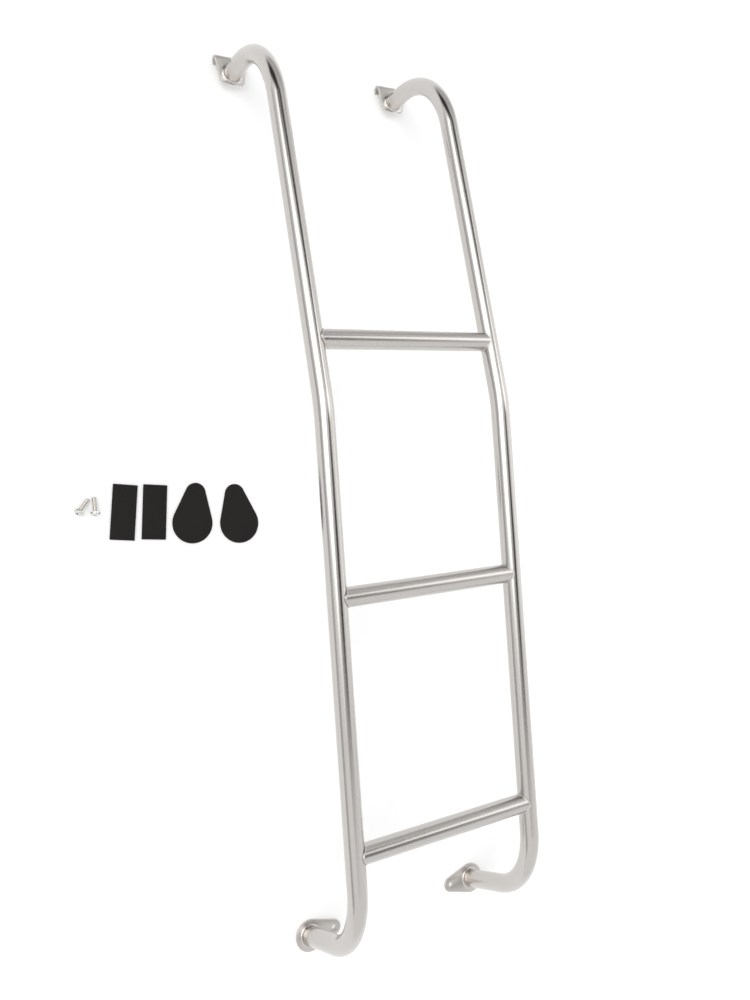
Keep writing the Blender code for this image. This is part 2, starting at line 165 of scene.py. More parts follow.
class LadderSizes(bpy.types.PropertyGroup):
    """Fine shape that a maker would choose"""

    tube_sides: bpy.props.IntProperty(
        name="Tube sides", description="Faces round a tube", default=56, min=16, max=128)
    bend_step: bpy.props.FloatProperty(
        name="Bend step", description="Turn between two rings of a bend", default=math.radians(1.4),
        subtype="ANGLE")
    wall: bpy.props.FloatProperty(
        name="Tube wall", description="Thickness of the tube's wall", default=0.0015, unit="LENGTH")
    rung_bead: bpy.props.FloatProperty(
        name="Rung weld", description="Radius of the weld round a rung", default=0.0014, unit="LENGTH")
    plate_bead: bpy.props.FloatProperty(
        name="Plate weld", description="Leg of the dressed weld on a plate", default=0.0028, unit="LENGTH")
    ripple: bpy.props.FloatProperty(
        name="Weld ripple", description="How much each ripple swells the weld", default=0.07,
        subtype="FACTOR")
    ripples: bpy.props.IntProperty(
        name="Weld ripples", description="Ripples round one weld", default=42, min=8, max=90)
    plate_edge: bpy.props.FloatProperty(
        name="Plate edge", description="Rounding of a plate's edges", default=0.0006, unit="LENGTH")
    pad_edge: bpy.props.FloatProperty(
        name="Pad edge", description="Rounding of a pad's edges", default=0.00035, unit="LENGTH")


class LadderColours(bpy.types.PropertyGroup):
    """Colours and satin of each finish"""

    tube: bpy.props.FloatVectorProperty(
        name="Tube", description="Satin tube", subtype="COLOR", default=(0.582, 0.559, 0.538),
        min=0.0, max=1.0)
    plate: bpy.props.FloatVectorProperty(
        name="Plate", description="Pressed plates", subtype="COLOR", default=(0.600, 0.575, 0.548),
        min=0.0, max=1.0)
    weld: bpy.props.FloatVectorProperty(
        name="Weld", description="Weld metal", subtype="COLOR", default=(0.60, 0.575, 0.55),
        min=0.0, max=1.0)
    heat_tint: bpy.props.FloatVectorProperty(
        name="Heat tint", description="Straw tint beside a weld", subtype="COLOR",
        default=(0.42, 0.33, 0.25), min=0.0, max=1.0)
    screw: bpy.props.FloatVectorProperty(
        name="Screw", description="Screw steel", subtype="COLOR", default=(0.74, 0.72, 0.69),
        min=0.0, max=1.0)
    rubber: bpy.props.FloatVectorProperty(
        name="Rubber", description="Sheet rubber", subtype="COLOR", default=(0.0105, 0.0100, 0.0088),
        min=0.0, max=1.0)
    dust: bpy.props.FloatVectorProperty(
        name="Dust", description="Pale specks on the rubber", subtype="COLOR", default=(0.35, 0.34, 0.32),
        min=0.0, max=1.0)
    backing: bpy.props.FloatVectorProperty(
        name="Backing", description="Adhesive under the foot pads", subtype="COLOR",
        default=(0.20, 0.13, 0.085), min=0.0, max=1.0)
    floor: bpy.props.FloatVectorProperty(
        name="Floor", description="Studio floor", subtype="COLOR", default=(0.80, 0.80, 0.80),
        min=0.0, max=1.0)
    rail_roughness: bpy.props.FloatProperty(
        name="Rail roughness", description="Satin of the rails", subtype="FACTOR", default=0.18)
    rung_roughness: bpy.props.FloatProperty(
        name="Rung roughness", description="Satin of the rungs", subtype="FACTOR", default=0.26)


def sizes():
    return bpy.context.scene.ladder_sizes


def colours():
    return bpy.context.scene.ladder_colours


# ---------------------------------------------------------------------------------------------------------
# Materials


class Signal:
    """A shader socket that takes part in Python arithmetic."""

    def __init__(self, shading, socket):
        self.shading = shading
        self.socket = socket

    def maths(self, operation, *values):
        return self.shading.node("ShaderNodeMath", {"operation": operation}, dict(enumerate(values)))

    def __add__(self, other):
        return self.maths("ADD", self, other)

    __radd__ = __add__

    def __sub__(self, other):
        return self.maths("SUBTRACT", self, other)

    def __rsub__(self, other):
        return self.maths("SUBTRACT", other, self)

    def __mul__(self, other):
        return self.maths("MULTIPLY", self, other)

    __rmul__ = __mul__

    def __truediv__(self, other):
        return self.maths("DIVIDE", self, other)

    def least(self, other):
        return self.maths("MINIMUM", self, other)

    def size(self):
        return self.maths("ABSOLUTE", self)

    def ramp(self, start, end):
        """0 at start and 1 at end, with smooth shoulders."""
        return self.shading.node(
            "ShaderNodeMapRange", {"interpolation_type": "SMOOTHSTEP"},
            {"Value": self, "From Min": start, "From Max": end},
        )


class Shading:
    """A node tree under construction."""

    def __init__(self, tree):
        self.tree = tree

    def feed(self, socket, value):
        if isinstance(value, Signal):
            self.tree.links.new(value.socket, socket)
        elif hasattr(value, "__len__") and socket.type == "RGBA":
            socket.default_value = (*value[:3], 1.0)
        else:
            socket.default_value = value

    def node(self, kind, settings=None, inputs=None, output=0):
        made = self.tree.nodes.new(kind)
        for name, value in (settings or {}).items():
            setattr(made, name, value)
        for key, value in (inputs or {}).items():
            self.feed(made.inputs[key], value)
        return Signal(self, made.outputs[output])

    def dot(self, first, second):
        return self.node(
            "ShaderNodeVectorMath", {"operation": "DOT_PRODUCT"}, {0: first, 1: second}, output="Value")


class Finish(Shading):
    """A node material on the Principled shader."""

    def __init__(self, name, **constants):
        self.material = bpy.data.materials.new(name)
        self.material.use_nodes = True
        super().__init__(self.material.node_tree)
        self.shader = self.tree.nodes["Principled BSDF"]
        for socket, value in constants.items():
            self.feed(self.shader.inputs[socket.replace("_", " ")], value)

    def place(self, stretch):
        """The piece's own unplaced coordinates, each axis multiplied by its stretch."""
        own = self.node("ShaderNodeAttribute", {"attribute_name": "own_place"}, output="Vector")
        return self.node("ShaderNodeVectorMath", {"operation": "MULTIPLY"}, {0: own, 1: stretch})

    def axis(self, letter):
        own = self.node("ShaderNodeAttribute", {"attribute_name": "own_place"}, output="Vector")
        return self.node("ShaderNodeSeparateXYZ", {}, {0: own}, output=letter)

    def from_axis(self):
        """Distance from the piece's own Z axis."""
        return self.node(
            "ShaderNodeVectorMath", {"operation": "LENGTH"}, {0: self.place((1.0, 1.0, 0.0))}, output="Value")

    def noise(self, stretch, detail=2.0, roughness=0.5):
        return self.node(
            "ShaderNodeTexNoise", {},
            {"Vector": self.place(stretch), "Scale": 1.0, "Detail": detail, "Roughness": roughness},
        )

    def scaled(self, colour, tone):
        return self.node("ShaderNodeVectorMath", {"operation": "SCALE"}, {0: colour, "Scale": tone})

    def mix(self, factor, first, second):
        return self.node(
            "ShaderNodeMix", {"data_type": "RGBA"}, {0: factor, 6: first, 7: second}, output=2)

    def bump(self, height, strength, distance):
        return self.node(
            "ShaderNodeBump", {}, {"Strength": strength, "Distance": distance, "Height": height},
            output="Normal")

    def shade(self, **values):
        for socket, value in values.items():
            self.feed(self.shader.inputs[socket.replace("_", " ")], value)
        return self.material


def per_mm(count):
    """A stretch that gives this many noise cells in a millimetre."""
    return count * 1000.0


def tube_steel(name, length, polished, satin):
    """Satin tube: fine rings of brushing, soft mottling, long hairlines, and a polished band at each weld."""
    finish = Finish(name, Metallic=1.0)
    brushing = finish.noise((per_mm(0.8), per_mm(0.8), per_mm(4.0)), detail=2.0)
    mottle = finish.noise((per_mm(0.5), per_mm(0.5), per_mm(0.7)), detail=3.0, roughness=0.6)
    dimple = finish.noise((per_mm(0.26), per_mm(0.26), per_mm(0.40)), detail=2.0)
    hairline = finish.noise((per_mm(2.2), per_mm(2.2), per_mm(0.02)), detail=1.0)
    cloud = finish.noise((per_mm(0.02), per_mm(0.02), per_mm(0.012)), detail=2.0)
    along = finish.axis("Z")
    from_end = along.least(length - along)
    band = 1.0 - from_end.ramp(polished * 0.5, polished * 1.5)
    tint = from_end.ramp(0.002, 0.006) * (1.0 - from_end.ramp(polished, polished * 2.2)) * 0.22
    tone = 0.97 + 0.05 * (mottle - 0.5) + 0.05 * (cloud - 0.5) - 0.03 * hairline.ramp(0.62, 0.75)
    base = finish.mix(tint, colours().tube, colours().heat_tint)
    shaded = finish.scaled(base, tone)
    roughness = satin + 0.06 * (mottle - 0.5) + 0.05 * (brushing - 0.5)
    roughness = roughness + 0.05 * (cloud - 0.5) - band * 0.10
    relief = brushing * 0.25 + mottle * 0.40 + dimple * 0.35
    return finish.shade(
        Base_Color=shaded, Roughness=roughness, Normal=finish.bump(relief, 0.35, 0.0002))


def plate_steel(name, polished):
    """Pressed sheet: short straight brushing along X, faint handling marks, and a polish round the tube."""
    finish = Finish(name, Metallic=1.0)
    brushing = finish.noise((per_mm(0.10), per_mm(2.6), per_mm(2.6)), detail=3.0)
    mottle = finish.noise((per_mm(0.30),) * 3, detail=4.0, roughness=0.6)
    cloud = finish.noise((per_mm(0.05),) * 3, detail=1.0)
    tone = 0.92 + 0.09 * mottle + 0.05 * cloud
    base = finish.scaled(colours().plate, tone)
    round_tube = 1.0 - finish.from_axis().ramp(polished, polished * 1.4)
    roughness = 0.42 + 0.08 * (brushing - 0.5) + 0.12 * (cloud - 0.5) - 0.12 * round_tube
    relief = brushing * 0.6 + mottle * 0.4
    return finish.shade(Base_Color=base, Roughness=roughness, Normal=finish.bump(relief, 0.2, 0.0001))


def weld_steel(name):
    """Dressed weld metal with a thin uneven skin and traces of heat."""
    finish = Finish(name, Metallic=1.0)
    skin = finish.noise((per_mm(0.9),) * 3, detail=3.0)
    cloud = finish.noise((per_mm(0.16),) * 3, detail=2.0)
    base = finish.mix(cloud.ramp(0.50, 0.72) * 0.35, colours().weld, colours().heat_tint)
    roughness = 0.20 + 0.12 * skin
    return finish.shade(Base_Color=base, Roughness=roughness, Normal=finish.bump(skin, 0.25, 0.0002))


def screw_steel(name):
    """Turned and passivated steel, with fine rings round the axis and painted shade darkening the inside of
    the cross recess.
    """
    finish = Finish(name, Metallic=1.0)
    turning = finish.noise((per_mm(0.3), per_mm(0.3), per_mm(6.0)), detail=1.0)
    cloud = finish.noise((per_mm(0.35),) * 3, detail=3.0)
    up = finish.axis("Z")
    # Painted shade: the recess mask darkens the colour on the recess's walls and floor, and tone multiplies
    # random clouding by it.
    recess = up.ramp(0.0002, 0.0006) * (1.0 - up.ramp(HEAD_HEIGHT - 0.0010, HEAD_HEIGHT - 0.0006))
    recess = recess * (1.0 - finish.from_axis().ramp(RECESS_SPAN * 0.40, RECESS_SPAN * 0.50))
    tone = (0.90 + 0.14 * cloud) * (1.0 - 0.80 * recess)
    base = finish.scaled(colours().screw, tone)
    roughness = 0.08 + 0.10 * cloud + 0.04 * turning
    return finish.shade(Base_Color=base, Roughness=roughness, Normal=finish.bump(turning, 0.12, 0.00005))


def sheet_rubber(name, backing_height):
    """Matte sheet rubber with a fine grain, pale dust and, where it has one, a tan adhesive backing."""
    finish = Finish(name, Metallic=0.0, Specular_IOR_Level=0.22)
    grain = finish.noise((per_mm(2.6),) * 3, detail=3.0, roughness=0.6)
    cloud = finish.noise((per_mm(0.07),) * 3, detail=3.0)
    calender = finish.noise((per_mm(0.03), per_mm(1.1), per_mm(0.5)), detail=2.0)
    dust = finish.node(
        "ShaderNodeTexVoronoi", {}, {"Vector": finish.place((per_mm(0.45),) * 3), "Scale": 1.0},
        output="Distance")
    speck = (1.0 - dust.ramp(0.05, 0.11)) * cloud.ramp(0.48, 0.62) * 0.10
    tone = 0.70 + 0.45 * cloud + 0.25 * calender
    base = finish.mix(speck, finish.scaled(colours().rubber, tone), colours().dust)
    if backing_height:
        lower = 1.0 - finish.axis("Z").ramp(backing_height * 0.8, backing_height * 1.1)
        base = finish.mix(lower, base, colours().backing)
    roughness = 0.74 + 0.14 * (cloud - 0.5) + 0.10 * (grain - 0.5)
    relief = grain * 0.75 + calender * 0.25
    return finish.shade(Base_Color=base, Roughness=roughness, Normal=finish.bump(relief, 0.45, 0.00018))


# ---------------------------------------------------------------------------------------------------------
# Modelling helpers


def choose(piece):
    """Makes this piece the active one and the only one selected."""
    bpy.ops.object.select_all(action="DESELECT")
    piece.select_set(True)
    bpy.context.view_layer.objects.active = piece


@contextlib.contextmanager
def editing(piece):
    """Edit mode on one mesh, in vertex select mode, with nothing selected."""
    choose(piece)
    bpy.ops.object.mode_set(mode="EDIT")
    bpy.ops.mesh.select_mode(type="VERT")
    bpy.ops.mesh.select_all(action="DESELECT")
    yield
    bpy.ops.object.mode_set(mode="OBJECT")


def pick(piece, wanted):
    """Selects the vertices whose place passes the test, with the edges and faces between them."""
    bpy.ops.mesh.select_all(action="DESELECT")
    bm = bmesh.from_edit_mesh(piece.data)
    for vert in bm.verts:
        if wanted(vert.co):
            vert.select_set(True)
    bm.select_flush(True)
    bmesh.update_edit_mesh(piece.data)


def pick_open_edges(piece):
    bpy.ops.mesh.select_mode(type="EDGE")
    bm = bmesh.from_edit_mesh(piece.data)
    for edge in bm.edges:
        edge.select_set(edge.is_boundary)
    bmesh.update_edit_mesh(piece.data)


def extrude(*step):
    """Extrudes what is selected by this step."""
    bpy.ops.mesh.extrude_region_move(TRANSFORM_OT_translate={"value": step})


def raise_rings(radius, height, outline):
    """Extrudes the selected ring or disc through each radius and height of the outline in turn."""
    for new_radius, new_height in outline:
        extrude(0, 0, new_height - height)
        scale = new_radius / radius
        bpy.ops.transform.resize(value=(scale, scale, 1), center_override=(0, 0, new_height))
        radius, height = new_radius, new_height


def started(name):
    """The primitive that was just added, named and with its place in its mesh."""
    piece = bpy.context.object
    piece.name = name
    piece.data.name = name
    bake_place(piece)
    return piece


def bake_place(piece):
    choose(piece)
    bpy.ops.object.transform_apply(location=True, rotation=True, scale=True)


def modify(piece, kind, **settings):
    """Adds a modifier with these settings and applies it."""
    bpy.context.view_layer.objects.active = piece
    modifier = piece.modifiers.new(kind.title(), kind)
    for name, value in settings.items():
        setattr(modifier, name, value)
    bpy.ops.object.modifier_apply(modifier=modifier.name)


def carve(piece, cutter, operation="DIFFERENCE"):
    """Cuts, or joins, with another mesh, which is then removed."""
    modify(piece, "BOOLEAN", operation=operation, object=cutter, solver="EXACT")
    bpy.data.objects.remove(cutter, do_unlink=True)


def face_outwards(piece):
    with editing(piece):
        bpy.ops.mesh.select_all(action="SELECT")
        bpy.ops.mesh.remove_doubles(threshold=1e-6)
        bpy.ops.mesh.normals_make_consistent(inside=False)


def soften(piece, width, segments=3):
    """Rounds every sharp edge."""
    modify(
        piece, "BEVEL", width=width, segments=segments, limit_method="ANGLE",
        angle_limit=math.radians(40), harden_normals=False, use_clamp_overlap=True)


def smooth(piece, degrees=35):
    choose(piece)
    bpy.ops.object.shade_smooth_by_angle(angle=math.radians(degrees))


def keep_place(piece, place_of=None):
    """Stores each point's place on the unplaced piece, which the finishes read."""
    places = piece.data.attributes.new("own_place", "FLOAT_VECTOR", "POINT")
    for vert, stored in zip(piece.data.vertices, places.data):
        stored.vector = place_of(vert.co) if place_of else vert.co


def duplicate(piece, name):
    """A copy with its own mesh."""
    twin = piece.copy()
    twin.data = piece.data.copy()
    twin.name = name
    twin.data.name = name
    bpy.context.collection.objects.link(twin)
    return twin


def move(piece, matrix):
    """Turns and moves a piece, and bakes that into its mesh."""
    piece.matrix_world = matrix
    bake_place(piece)


def settle(piece, node):
    """Moves a piece so that its lowest corner meets its node's."""
    corner = Vector(min(vert.co[axis] for vert in piece.data.vertices) for axis in range(3))
    move(piece, Matrix.Translation(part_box(node)[0] - corner))


def turned(degrees, axis="Z"):
    return Matrix.Rotation(math.radians(degrees), 4, axis)


def hand_over(piece, node, finish):
    """Gives the piece its finish and lets it stand for its node, on the node's body."""
    piece.data.materials.clear()
    piece.data.materials.append(finish)
    body = frame["nodes"][node]["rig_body"]
    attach(piece, body)
    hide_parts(node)


# ---------------------------------------------------------------------------------------------------------
# The rail's route, in its own plane as (y, z)


def rail_sections():
    """Straights and bends from the hook end: ("feed", length) or ("bend", radius, degrees)."""
    return (
        ("feed", HOOK_LEG),
        ("bend", TOP_BEND_RADIUS, 90.0 - UPPER_SLOPE),
        ("feed", UPPER_RUN),
        ("bend", KINK_RADIUS, UPPER_SLOPE + LOWER_SLOPE),
        ("feed", LOWER_RUN),
        ("bend", BOTTOM_BEND_RADIUS, 90.0 - FOOT_LEAN - LOWER_SLOPE),
        ("feed", FOOT_LEG),
    )


def ahead(heading):
    """The unit step for a heading, which is the angle above -Y in degrees."""
    return Vector((-math.cos(math.radians(heading)), math.sin(math.radians(heading))))


def bend_centre(point, heading, radius):
    return point + Vector((-ahead(heading).y, ahead(heading).x)) * radius


def walk(point, heading, section):
    """The point and heading at the far end of a section."""
    if section[0] == "feed":
        return point + ahead(heading) * section[1], heading
    after = heading - section[2]
    out = Vector((ahead(after).y, -ahead(after).x))
    return bend_centre(point, heading, section[1]) + out * section[1], after


def rail_stops():
    """Each section with the point and heading that it starts from."""
    point, heading = Vector((HOOK_Y, HOOK_FACE)), 90.0
    stops = []
    for section in rail_sections():
        stops.append((point, heading, section))
        point, heading = walk(point, heading, section)
    return stops


def rail_length():
    return sum(s[1] if s[0] == "feed" else s[1] * math.radians(s[2]) for s in rail_sections())


def kink_middle():
    """The point where the upper and the lower run would cross."""
    point, heading, section = rail_stops()[3]
    tangent = section[1] * math.tan(math.radians(section[2]) / 2)
    return point + ahead(heading) * tangent


def rung_middle(name):
    """The middle of a rung as (y, z), and the slope of the run that holds it, in degrees."""
    low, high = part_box(f"{name}_rung")
    middle = Vector(((low.y + high.y) / 2, (low.z + high.z) / 2))
    return middle, -UPPER_SLOPE if middle.x > kink_middle().x else LOWER_SLOPE


def straighten(point):
    """Where a point on a rail would be if its tube were straight along Z."""
    flat = Vector((point.y, point.z))
    run, best = 0.0, None
    for start, heading, section in rail_stops():
        if section[0] == "feed":
            length = section[1]
            reach = (flat - start).dot(ahead(heading))
            out = (flat - start).dot(Vector((ahead(heading).y, -ahead(heading).x)))
        else:
            length = section[1] * math.radians(section[2])
            arm = flat - bend_centre(start, heading, section[1])
            first = Vector((ahead(heading).y, -ahead(heading).x))
            reach = section[1] * math.atan2(arm.dot(ahead(heading)), arm.dot(first))
            out = arm.length - section[1]
        past = max(0.0, -reach, reach - length)
        if best is None or past < best[0] - 1e-9:
            best = (past, Vector((point.x, out, run + reach)))
        run += length
    return best[1]


# ---------------------------------------------------------------------------------------------------------
# Rails and rungs


def add_rail(name):
    """One rail on the ladder's middle plane: a ring, fed and bent into a skin, given a wall, and sawn off."""
    stops = rail_stops()
    start = stops[0][0]
    bpy.ops.mesh.primitive_circle_add(
        vertices=sizes().tube_sides, radius=TUBE_RADIUS, location=(0.0, start.x, start.y - SINK))
    rail = started(name)
    with editing(rail):
        bpy.ops.mesh.select_all(action="SELECT")
        for point, heading, section in stops:
            if section[0] == "feed":
                step = ahead(heading) * (section[1] + (SINK if point == start else 0.0))
                extrude(0, step.x, step.y)
            else:
                centre = bend_centre(point, heading, section[1])
                turn = math.radians(section[2])
                bpy.ops.mesh.spin(
                    steps=max(4, round(turn / sizes().bend_step)), angle=-turn,
                    center=(0, centre.x, centre.y), axis=(1, 0, 0))
        step = ahead(heading) * FOOT_OVERRUN
        extrude(0, step.x, step.y)
    face_outwards(rail)
    modify(rail, "SOLIDIFY", thickness=sizes().wall, offset=-1.0, use_even_offset=True)
    with editing(rail):
        bpy.ops.mesh.select_all(action="SELECT")
        bpy.ops.mesh.bisect(
            plane_co=(0, 0, PLATE_THICKNESS - SINK), plane_no=(0, 0, -1), clear_outer=True)
        bpy.ops.mesh.bridge_edge_loops()
    smooth(rail)
    keep_place(rail, straighten)
    return rail


def add_rung(name):
    """A tube between the rails, with a saddle cut in each end."""
    middle, slope = rung_middle(name)
    bpy.ops.mesh.primitive_cylinder_add(
        vertices=sizes().tube_sides, radius=TUBE_RADIUS, depth=RAIL_SPACING, end_fill_type="NOTHING",
        location=(MIDDLE_X, middle.x, middle.y), rotation=(0, math.pi / 2, 0))
    rung = started(f"{name}_rung_tube")
    modify(rung, "SOLIDIFY", thickness=sizes().wall, offset=-1.0)
    for side in SIDES.values():
        bpy.ops.mesh.primitive_cylinder_add(
            vertices=4 * sizes().tube_sides, radius=TUBE_RADIUS + SADDLE_GAP, depth=4 * TUBE_RADIUS,
            location=(MIDDLE_X + side * RAIL_SPACING / 2, middle.x, middle.y),
            rotation=(math.radians(slope - 90), 0, 0))
        carve(rung, started("rail_stand_in"))
    smooth(rung)
    keep_place(rung, lambda p: Vector((p.y - middle.x, p.z - middle.y, p.x - MIDDLE_X + RAIL_SPACING / 2)))
    return rung


# ---------------------------------------------------------------------------------------------------------
# Welds


def add_bead(name, ring, radius, rotation):
    """A ring of weld, with its count of cross-sections."""
    steps = len(RIPPLE_SHAPE) * sizes().ripples
    bpy.ops.mesh.primitive_torus_add(
        major_radius=ring, minor_radius=radius, major_segments=steps, minor_segments=14,
        rotation=rotation)
    return started(name), steps


def ring_test(angle, half_step, flat):
    """Picks the points of one cross-section of a ring, whose flat plane is given by two axes."""
    def on_ring(place):
        off = math.atan2(place[flat[1]], place[flat[0]]) - angle
        return abs(math.remainder(off, math.tau)) < half_step
    return on_ring


def ripple(step):
    """How far a cross-section swells: a steep front and a long back."""
    return 1.0 + sizes().ripple * RIPPLE_SHAPE[step % len(RIPPLE_SHAPE)]


def add_saddle_bead():
    """The weld round a rung where it meets the rail on its -X side, with the rail along Y."""
    ring, reach = TUBE_RADIUS - 0.8 * SADDLE_GAP, TUBE_RADIUS + SADDLE_GAP / 2
    bead, steps = add_bead("saddle_bead", ring, sizes().rung_bead, (0, math.pi / 2, 0))
    with editing(bead):
        for step in range(steps):
            angle = math.tau * step / steps
            pick(bead, ring_test(angle, math.pi / steps, (1, 2)))
            swell = ripple(step)
            centre = Vector((0, math.cos(angle), math.sin(angle))) * ring
            bpy.ops.transform.resize(value=(swell,) * 3, center_override=centre)
            bpy.ops.transform.translate(value=(math.sqrt(reach**2 - centre.z**2), 0, 0))
    return bead


def add_flat_bead(name, lean):
    """The dressed weld round a tube's end on a flat plate at Z = 0: a hollow fillet, raised up the tube, which
    leans towards +Y by this many degrees."""
    leg = sizes().plate_bead
    rise = math.tan(math.radians(lean))
    bpy.ops.mesh.primitive_circle_add(vertices=2 * sizes().tube_sides, radius=TUBE_RADIUS + leg)
    bead = started(name)
    with editing(bead):
        bpy.ops.mesh.select_all(action="SELECT")
        bpy.ops.transform.translate(value=(0, 0, -SINK))
        outline = [(TUBE_RADIUS + leg, 0.0)]
        for step in range(1, FILLET_STEPS + 1):
            angle = math.pi / 2 * step / FILLET_STEPS
            outline.append((TUBE_RADIUS + leg * (1 - math.sin(angle)), leg * (1 - math.cos(angle))))
        outline += [(TUBE_RADIUS - SINK, leg), (TUBE_RADIUS - SINK, -SINK)]
        raise_rings(TUBE_RADIUS + leg, -SINK, outline)
        pick_open_edges(bead)
        bpy.ops.mesh.bridge_edge_loops()
        bpy.ops.mesh.select_mode(type="VERT")
        for height in sorted({height for _, height in outline if height > 0}):
            pick(bead, lambda p: abs(p.z - height) < 1e-6)
            bpy.ops.transform.translate(value=(0, rise * height, 0))
        bpy.ops.mesh.select_all(action="SELECT")
        bpy.ops.transform.resize(value=(1, 1 / math.cos(math.radians(lean)), 1), center_override=(0, 0, 0))
    return bead


# ---------------------------------------------------------------------------------------------------------
# Plates


def add_hook_plate():
    """A plate folded over into a lip at its top, about the rail's axis, with its face at HOOK_FACE."""
    roll_radius = HOOK_FACE / 2
    roll = HOOK_TOP - roll_radius
    shoulder = HOOK_TOP - HOOK_SIDE_DROP
    bpy.ops.mesh.primitive_plane_add(size=1.0, location=(0, (roll + shoulder) / 2, HOOK_FACE))
    bpy.context.object.scale = (HOOK_TOP_WIDTH, roll - shoulder, 1.0)
    plate = started("hook_plate")
    with editing(plate):
        pick(plate, lambda p: p.y < shoulder + 1e-6)
        extrude(0, HOOK_BOTTOM - shoulder, 0)
        bpy.ops.transform.resize(
            value=(HOOK_BOTTOM_WIDTH / HOOK_TOP_WIDTH, 1, 1), center_override=(0, HOOK_BOTTOM, HOOK_FACE))
        bpy.ops.mesh.bevel(affect="VERTICES", offset=HOOK_CORNER, segments=8)
        pick(plate, lambda p: p.y > roll - 1e-6)
        bpy.ops.mesh.spin(
            steps=20, angle=math.pi, center=(0, roll, HOOK_FACE - roll_radius), axis=(1, 0, 0))
        extrude(0, -HOOK_LIP_RETURN, 0)
    face_outwards(plate)
    if plate.data.polygons[0].normal.z < 0:
        plate.data.flip_normals()
    modify(plate, "SOLIDIFY", thickness=PLATE_THICKNESS, offset=-1.0, use_even_offset=True)
    soften(plate, sizes().plate_edge)
    smooth(plate)
    keep_place(plate)
    return plate


def add_teardrop(name, shape, thickness, hole_radius=0.0):
    """A flat teardrop on Z = 0 with its wide end on the origin and its narrow end towards +X."""
    wide, narrow, offset = shape
    bpy.ops.mesh.primitive_cylinder_add(
        vertices=120, radius=wide, depth=thickness, location=(0, 0, thickness / 2))
    piece = started(name)
    tangent = math.acos((wide - narrow) / offset)
    with editing(piece):
        pick(piece, lambda p: abs(math.atan2(p.y, p.x)) < tangent)
        shrink = narrow / wide
        bpy.ops.transform.resize(value=(shrink, shrink, 1), center_override=(0, 0, 0))
        bpy.ops.transform.translate(value=(offset, 0, 0))
    if hole_radius:
        bpy.ops.mesh.primitive_cylinder_add(
            vertices=48, radius=hole_radius, depth=3 * thickness, location=(offset, 0, thickness / 2))
        carve(piece, started("hole"))
    return piece


# ---------------------------------------------------------------------------------------------------------
# Screws


def add_thread():
    """A threaded shank down -Z, running into the head: a zigzag turned once while it climbs one pitch."""
    turns = round(SCREW_LENGTH / THREAD_PITCH) + 4
    bpy.ops.mesh.primitive_plane_add(size=turns * THREAD_PITCH, rotation=(math.pi / 2, 0, 0))
    shank = started("thread")
    low = -SCREW_LENGTH - 2 * THREAD_PITCH
    with editing(shank):
        pick(shank, lambda p: p.x > 0)
        bpy.ops.mesh.delete(type="VERT")
        bpy.ops.mesh.select_all(action="SELECT")
        bpy.ops.transform.translate(
            value=(turns * THREAD_PITCH / 2 + SCREW_RADIUS, 0, turns * THREAD_PITCH / 2 + low))
        bpy.ops.mesh.subdivide(number_cuts=2 * turns - 1)
        pick(shank, lambda p: round((p.z - low) / THREAD_PITCH * 2) % 2 == 0)
        bpy.ops.transform.translate(value=(-THREAD_DEPTH, 0, 0))
    modify(
        shank, "SCREW", axis="Z", angle=math.tau, screw_offset=THREAD_PITCH, steps=36, render_steps=36,
        iterations=1, use_merge_vertices=False, use_smooth_shade=False)
    with editing(shank):
        bpy.ops.mesh.select_all(action="SELECT")
        bpy.ops.mesh.remove_doubles(threshold=1e-6)
        for height, side in ((-SCREW_LENGTH, -1), (HEAD_RIM / 2, 1)):
            bpy.ops.mesh.select_all(action="SELECT")
            bpy.ops.mesh.bisect(
                plane_co=(0, 0, height), plane_no=(0, 0, side), clear_outer=True, use_fill=True)
    face_outwards(shank)
    bpy.ops.mesh.primitive_cylinder_add(
        vertices=72, radius=SCREW_RADIUS + SINK, depth=SCREW_LENGTH + HEAD_RIM + SINK,
        location=(0, 0, (HEAD_RIM - SCREW_LENGTH + SINK) / 2))
    blank = started("shank_blank")
    with editing(blank):
        pick(blank, lambda p: p.z < 0)
        shrink = (SCREW_RADIUS - SCREW_TIP) / (SCREW_RADIUS + SINK)
        extrude(0, 0, -SINK)
        bpy.ops.transform.resize(value=(shrink, shrink, 1), center_override=(0, 0, 0))
        pick(blank, lambda p: p.z < 0 and Vector((p.x, p.y)).length > SCREW_RADIUS)
        bpy.ops.transform.translate(value=(0, 0, SCREW_TIP + SINK))
    carve(shank, blank, "INTERSECT")
    return shank


def add_head():
    """A pan head from Z = 0 up, raised ring by ring over its dome."""
    bpy.ops.mesh.primitive_cylinder_add(
        vertices=64, radius=HEAD_RADIUS, depth=HEAD_RIM, location=(0, 0, HEAD_RIM / 2))
    head = started("head")
    crown = HEAD_HEIGHT - HEAD_RIM
    angles = [math.radians(90 / HEAD_RINGS * (ring + 0.5)) for ring in range(HEAD_RINGS)]
    with editing(head):
        pick(head, lambda p: p.z > HEAD_RIM / 2)
        raise_rings(HEAD_RADIUS, HEAD_RIM, [
            (HEAD_RADIUS * math.cos(angle), HEAD_RIM + crown * math.sin(angle)) for angle in angles])
    return head


